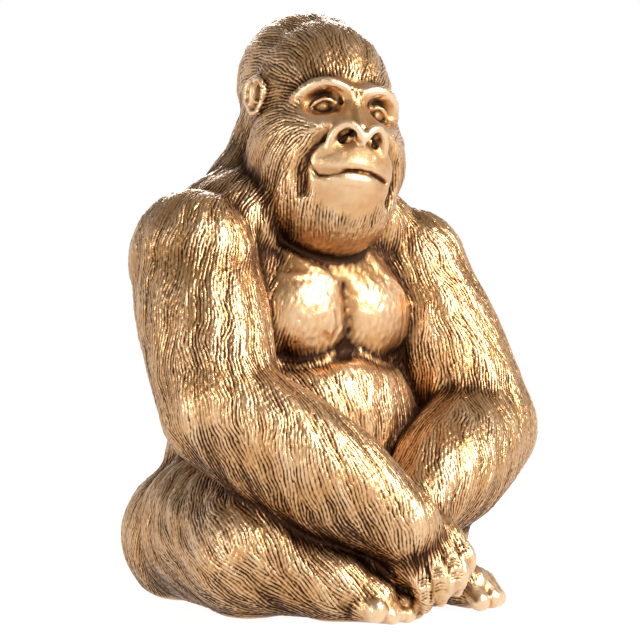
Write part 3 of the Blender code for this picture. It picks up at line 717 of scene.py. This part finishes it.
def inside(points, centre, radii, soft):
    """1 in an ellipsoid, 0 outside it, with a soft and ragged edge."""
    reach = np.linalg.norm((points - np.array(centre)) / np.array(radii), axis=1)
    return np.clip((1.0 + soft - reach - RAGGEDNESS * soft * ragged) / (2 * soft), 0.0, 1.0)


def bare(points, ellipsoids):
    """1 where any of the ellipsoids makes the skin bare."""
    return np.maximum.reduce([inside(points, *ellipsoid) for ellipsoid in ellipsoids])


to_head = np.array(head_place.inverted())
in_head = (surface.points @ to_head[:3, :3].T + to_head[:3, 3]) / MM
in_body = (surface.points - np.array(CENTRED_BY)) / MM
face_bare = bare(in_head, BARE_FACE)
chest_bare = CHEST_BARENESS * bare(in_body, BARE_CHEST)
hand_bare = HAND_BARENESS * bare(in_body, BARE_HANDS)
under = np.clip((UNDERSIDE - surface.points[:, 2]) / UNDERSIDE_EDGE, 0.0, 1.0)
furred = (1.0 - np.maximum.reduce([face_bare, chest_bare, hand_bare])) * (1.0 - under)
print("furred share", round(float(furred.mean()), 2))

# %% Carve
STRAND_DEPTH, LOCK_DEPTH, SKIN_DEPTH = 0.00068, 0.00048, 0.00017
CRUMB_DEPTH = 0.00015
FACE_SKIN, FINE_SKIN = 0.50, 0.35
# The mean heights of strands and locks are taken off, so that carving doesn't swell the figure.
STRAND_MEAN, LOCK_MEAN = 0.65, 0.6
# Some places are carved more deeply than others, as by hand.
MEAN_VIGOUR, VIGOUR_SWING, VIGOUR_RANGE = 0.90, 0.28, (0.40, 1.5)

vigour = MEAN_VIGOUR + VIGOUR_SWING * slow_noise(surface.points, size=0.009, seed=41)
vigour = np.clip(vigour, *VIGOUR_RANGE)
relief = furred * vigour * (STRAND_DEPTH * (strand - STRAND_MEAN) + LOCK_DEPTH * (lock - LOCK_MEAN))
relief += furred * CRUMB_DEPTH * slow_noise(surface.points, size=0.0024, seed=44, waves=20)
skin = slow_noise(surface.points, size=0.004, seed=42, waves=16)
skin += FINE_SKIN * slow_noise(surface.points, size=0.0022, seed=43, waves=16)
skin *= np.where(face_bare > 0.5, FACE_SKIN, 1.0)
relief += (1.0 - furred) * (1.0 - under) * SKIN_DEPTH * skin
carved = surface.points + surface.normals * relief[:, None].astype(np.float32)
low, high = (np.array(corner, np.float32) for corner in cad_box)
carved = np.clip(carved, low, high).astype(np.float32)
write_points(gorilla.data, carved)
clock("fur carved")

# %% [markdown]
# ## Where shade is painted
#
# The paint darkens the cuts, the folds, the broad hollows and the undersides with brown, which is
# painted shade, so the ridges stand out paler. Three values are kept on every point for the paint:
# how deep it lies between strands, how deep in a fold, and how deep in a broad hollow such as the lap.
# A depth is measured from a smoothed copy of the skin. The bare face gets less of this painted shade in its
# folds.

# %% Depth values
FOLD_SCALE, FOLD_ROUNDS = 0.0016, 40
# How much less painted shade the bare face gets in its folds.
LESS_FACE_SHADE = 0.5

sunk = smoothed(gorilla, FOLD_ROUNDS).points - carved
depth = np.einsum("ij,ij->i", sunk, surface.normals) / FOLD_SCALE
depth *= 1.0 - LESS_FACE_SHADE * face_bare
# Painted shade: the paint darkens the grooves between strands and the cut creases by this value.
keep(gorilla, "groove", np.maximum(furred * np.minimum(vigour, 1.0) * (1.0 - strand), creases))
# Painted shade: the paint darkens the folds by this value and keeps the paler gold out of them.
keep(gorilla, "fold", depth)
clock(f"fold values {np.percentile(depth, (5, 50, 95)).round(2)}")

# %% Thin it out
# Thinning can push a point a hair past the CAD box, so the points are held to it once more.
MOST_TRIANGLES = 760000

thinner = MOST_TRIANGLES / (2 * len(gorilla.data.polygons))
apply_modifier(gorilla, "DECIMATE", ratio=thinner, use_collapse_triangulate=True)
write_points(gorilla.data, np.clip(read_points(gorilla.data), low, high))
clock(f"thinned to {len(gorilla.data.polygons)} triangles")

# %% Broad hollows
HOLLOW_SCALE, HOLLOW_ROUNDS = 0.006, 250
# Faces that point down get this much painted shade as well.
FACING_DOWN = 0.6

broad = smoothed(gorilla, HOLLOW_ROUNDS)
sunk = broad.points - read_points(gorilla.data)
hollow = np.einsum("ij,ij->i", sunk, broad.normals) / HOLLOW_SCALE
hollow += FACING_DOWN * np.clip(-broad.normals[:, 2], 0.0, 1.0)
# Painted shade: the paint darkens broad hollows and faces that point down by this value, and keeps the paler
# gold out of them.
keep(gorilla, "hollow", hollow)
clock(f"hollow values {np.percentile(hollow, (5, 50, 95)).round(2)}")

# %% [markdown]
# ## Shader maths
#
# A socket is wrapped in a small class, so that an expression such as `1 - depth * 0.5` adds its own
# Math nodes. Any other node comes from one method.

# %% Shader helpers
class Socket:
    """An output that takes part in arithmetic. Each operation adds a Math node."""

    def __init__(self, nodes, output):
        self.nodes, self.output = nodes, output

    def math(self, operation, first, second):
        made = self.nodes.add("ShaderNodeMath", {"operation": operation}, {0: first, 1: second})
        return self.nodes.out(made, "Value")

    def __add__(self, other):
        return self.math("ADD", self, other)

    def __radd__(self, other):
        return self.math("ADD", other, self)

    def __sub__(self, other):
        return self.math("SUBTRACT", self, other)

    def __rsub__(self, other):
        return self.math("SUBTRACT", other, self)

    def __mul__(self, other):
        return self.math("MULTIPLY", self, other)

    def __rmul__(self, other):
        return self.math("MULTIPLY", other, self)

    def clamped(self):
        return self.nodes.out(self.nodes.add("ShaderNodeClamp", {}, {"Value": self}), "Result")


class Nodes:
    """The nodes of one material or world. A value is a number, a colour or a Socket."""

    def __init__(self, owner):
        owner.use_nodes = True
        self.tree = owner.node_tree

    def add(self, kind, settings, sockets):
        """A node of this type, with its settings, then the values or links of its sockets."""
        made = self.tree.nodes.new(kind)
        for name, value in settings.items():
            setattr(made, name, value)
        for name, value in sockets.items():
            self.feed(made.inputs[name], value)
        return made

    def feed(self, socket, value):
        """Links the value to the socket, or sets it there where it is a plain number or colour."""
        if isinstance(value, Socket):
            self.tree.links.new(value.output, socket)
        else:
            socket.default_value = value

    def out(self, made, name):
        return Socket(self, made.outputs[name])

    def read(self, name):
        """A value that is kept on the mesh's points."""
        return self.out(self.add("ShaderNodeAttribute", {"attribute_name": name}, {}), "Fac")

    def noise(self, scale, detail):
        """Soft noise from 0 to 1 that stays in place on the object."""
        place = self.out(self.add("ShaderNodeTexCoord", {}, {}), "Object")
        sockets = {"Vector": place, "Scale": scale, "Detail": detail}
        return self.out(self.add("ShaderNodeTexNoise", {}, sockets), 0)

    def blend(self, share, first, second):
        """A colour between two colours."""
        sockets = {0: share, 6: first, 7: second}
        return self.out(self.add("ShaderNodeMix", {"data_type": "RGBA"}, sockets), 2)

    def seen(self):
        """1 for what the eye sees straight, in a reflection or through glass, 0 for light."""
        rays = self.add("ShaderNodeLightPath", {}, {})
        kinds = "Camera", "Glossy", "Transmission"
        direct, mirrored, through = (self.out(rays, f"Is {kind} Ray") for kind in kinds)
        return (direct + mirrored + through).clamped()


# %% [markdown]
# ## Gold paint
#
# The paint is a metal shader under a thin clear coat. Brown is painted into the cuts, folds, broad
# hollows and undersides as painted shade, with some random stain, so the ridges are paler. A paler gold
# comes in random rubbed patches and is kept out of the folds and hollows, and the shine changes slowly
# from place to place. A fine grain stands for the cast skin. How much each value lightens or darkens
# the paint was found by trying, beside the photograph. A small amount is taken off the brown, so that
# its faintest traces don't show.

# %% Paint
GOLD = (0.55, 0.28, 0.10, 1.0)
# The paler gold of random rubbed patches, which also acts as painted light wherever there is no fold, hollow
# or underside.
RUBBED_AND_LIT_GOLD = (0.80, 0.56, 0.34, 1.0)
# The brown of random stain and of the painted shade in cuts, folds, hollows and undersides.
BROWN = (0.038, 0.013, 0.004, 1.0)
ROUGHNESS, METALLIC, COAT, COAT_ROUGHNESS = 0.33, 0.85, 0.40, 0.25
STAIN_AND_SHADE_ROUGHNESS, PATCH_ROUGHNESS = 0.14, 0.16
# How much the random patches wear the paint, and how much folds and hollows keep the paler gold away, as
# painted shade.
PATCH_WEAR, FOLD_DIMMING, HOLLOW_DIMMING = 1.2, 1.4, 0.9
# How much grooves, folds and hollows are darkened as painted shade, and how much the random patches stain.
GROOVE_SHADE, FOLD_SHADE, HOLLOW_SHADE, PATCH_STAIN, LEAST_DARKENING = 1.2, 1.5, 1.55, 0.9, 0.02
PATCH_SCALE, GRAIN_SCALE = 38.0, 900.0
GRAIN = {"Strength": 0.35, "Distance": 0.0005}

paint = bpy.data.materials.new("gold paint")
nodes = Nodes(paint)
shader = paint.node_tree.nodes["Principled BSDF"]
groove, fold, hollow = nodes.read("groove"), nodes.read("fold"), nodes.read("hollow")
patches = nodes.noise(PATCH_SCALE, detail=3.0)
# Paler gold in random rubbed patches, kept out of folds, broad hollows and undersides: partly painted light.
wear_and_light = ((patches - 0.5) * PATCH_WEAR - fold * FOLD_DIMMING - hollow * HOLLOW_DIMMING).clamped()
# Brown: painted shade in grooves, folds, broad hollows and undersides, with a random stain from the patches.
stain_and_shade = (groove * GROOVE_SHADE + fold * FOLD_SHADE + hollow * HOLLOW_SHADE
           + (patches - 0.5) * PATCH_STAIN - LEAST_DARKENING).clamped()
colour = nodes.blend(stain_and_shade, nodes.blend(wear_and_light, GOLD, RUBBED_AND_LIT_GOLD), BROWN)
nodes.feed(shader.inputs["Base Color"], colour)
rough = ROUGHNESS + stain_and_shade * STAIN_AND_SHADE_ROUGHNESS + (patches - 0.5) * PATCH_ROUGHNESS
nodes.feed(shader.inputs["Roughness"], rough)
shader.inputs["Metallic"].default_value = METALLIC
nodes.feed(shader.inputs["Coat Weight"], COAT - stain_and_shade * COAT)
shader.inputs["Coat Roughness"].default_value = COAT_ROUGHNESS
grain = nodes.noise(GRAIN_SCALE, detail=2.0)
bump = nodes.add("ShaderNodeBump", {}, {**GRAIN, "Height": grain})
nodes.feed(shader.inputs["Normal"], nodes.out(bump, "Normal"))
gorilla.data.materials.clear()
gorilla.data.materials.append(paint)
print("paint has", len(paint.node_tree.nodes), "nodes")

# %% [markdown]
# ## Five light pieces
#
# The real figure is one casting and looks like one here. The carved skin is heavy, though, so the
# model keeps it as five level slices, each closed. On a rim, the normals and the paint's values come
# from the whole skin beside it, so the cuts don't show.

# %% Slice
CUTS = (0.052, 0.108, 0.170, 0.260)
NAMES = ("gorilla_feet", "gorilla_knees", "gorilla_arms", "gorilla_chest", "gorilla_head")
TINY, NEAR_CUT = 0.000001, 0.002
MARGIN = 0.01

levels = (cad_box[0][2] - MARGIN, *CUTS, cad_box[1][2] + MARGIN)
surface = Surface(gorilla)
whole, whole_normals = surface.points, surface.normals
values = {}
for name in ("groove", "fold", "hollow"):
    values[name] = np.empty(len(whole), np.float32)
    gorilla.data.attributes[name].data.foreach_get("value", values[name])


def match_rim(piece, bottom, top):
    """Gives the points on a cut the normals and values of the whole skin, and returns their number."""
    skin = Surface(piece)
    rim, around = (np.flatnonzero(np.minimum(abs(points[:, 2] - bottom), abs(points[:, 2] - top)) < reach)
                   for points, reach in ((skin.points, TINY), (whole, NEAR_CUT)))
    tree = KDTree(len(around))
    for number in around:
        tree.insert(whole[number], number)
    tree.balance()
    for number in rim:
        near = tree.find_n(skin.points[number], 2)
        parts = np.array([1.0 / (gap + TINY) for _, _, gap in near])
        parts /= parts.sum()
        ends = [index for _, index, _ in near]
        skin.normals[number] = parts @ whole_normals[ends]
        for kept, value in values.items():
            piece.data.attributes[kept].data[number].value = float(parts @ value[ends])
    piece.data.shade_smooth()
    piece.data.normals_split_custom_set_from_vertices(skin.normals)
    return len(rim)


pieces = []
for name, bottom, top in zip(NAMES, levels[:-1], levels[1:]):
    piece = bpy.data.objects.new(name, gorilla.data.copy())
    bpy.context.scene.collection.objects.link(piece)
    bpy.ops.mesh.primitive_cube_add(size=1.0, location=(0, 0, (bottom + top) / 2), scale=(1, 1, top - bottom))
    slab = bpy.context.object
    apply_modifier(piece, "BOOLEAN", operation="INTERSECT", solver="MANIFOLD", object=slab)
    bpy.data.objects.remove(slab)
    on_rim = match_rim(piece, bottom, top)
    pieces.append(piece)
    print(name, len(piece.data.polygons), "faces,", on_rim, "points on the rim")
bpy.data.objects.remove(gorilla)
clock("sliced")

# %% [markdown]
# ## Floor and backdrop
#
# The floor is pale and plain. It glows softly for the eye and for reflections, so that it reads as
# white paper, and a share of it stays dull, so that it still takes the figure's shadow.
#
# Metal looks like what it mirrors. Under a wholly white sky gold turns flat and pale, so the sky is
# white only low down, where the camera sees it, and the ceiling above is dim.

# %% Floor
# The glow is just strong enough to make the paper white together with its dull share.
GLOW_SHARE, DULL_WHITE, SKY_LIGHT = 0.75, 0.9, 0.22
FLOOR_SIZE, FLOOR_DROP = 12.0, 0.0005

bpy.ops.mesh.primitive_plane_add(size=FLOOR_SIZE, location=(0, 0, -FLOOR_DROP))
floor = bpy.context.object
floor.name = "floor"
paper = bpy.data.materials.new("white paper")
nodes = Nodes(paper)
nodes.tree.nodes.clear()
glow_strength = (1.0 - (1.0 - GLOW_SHARE) * DULL_WHITE * SKY_LIGHT) / GLOW_SHARE
glow = nodes.add("ShaderNodeEmission", {}, {"Strength": glow_strength})
dull = nodes.add("ShaderNodeBsdfDiffuse", {}, {"Color": (DULL_WHITE, DULL_WHITE, DULL_WHITE, 1.0)})
sockets = {0: nodes.seen() * GLOW_SHARE, 1: nodes.out(dull, "BSDF"), 2: nodes.out(glow, "Emission")}
mixed = nodes.add("ShaderNodeMixShader", {}, sockets)
nodes.add("ShaderNodeOutputMaterial", {}, {"Surface": nodes.out(mixed, "Shader")})
floor.data.materials.append(paper)
print("floor laid")

# %% Sky
# The white backdrop ends at this height, as the sine of the angle. The ceiling above is dimmer.
CEILING, CEILING_EDGE = 0.55, 5.0

sky = bpy.data.worlds.new("studio")
bpy.context.scene.world = sky
nodes = Nodes(sky)
nodes.tree.nodes.clear()
looked = nodes.out(nodes.add("ShaderNodeTexCoord", {}, {}), "Generated")
height = nodes.out(nodes.add("ShaderNodeSeparateXYZ", {}, {"Vector": looked}), "Z")
backdrop = ((CEILING - height) * CEILING_EDGE).clamped()
strength = SKY_LIGHT + nodes.seen() * backdrop * (1.0 - SKY_LIGHT)
white = nodes.add("ShaderNodeBackground", {}, {"Color": (1.0, 1.0, 1.0, 1.0), "Strength": strength})
nodes.add("ShaderNodeOutputWorld", {}, {"Surface": nodes.out(white, "Background")})
bpy.context.scene.view_settings.view_transform = "Standard"
print("sky set")

# %% [markdown]
# ## Hand over
#
# Each slice rides on the part's body and stands for the CAD solid.

# %% Ride and replace
for piece in pieces:
    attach(piece, "root")
    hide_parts("figurine")
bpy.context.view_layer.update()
clock("done")
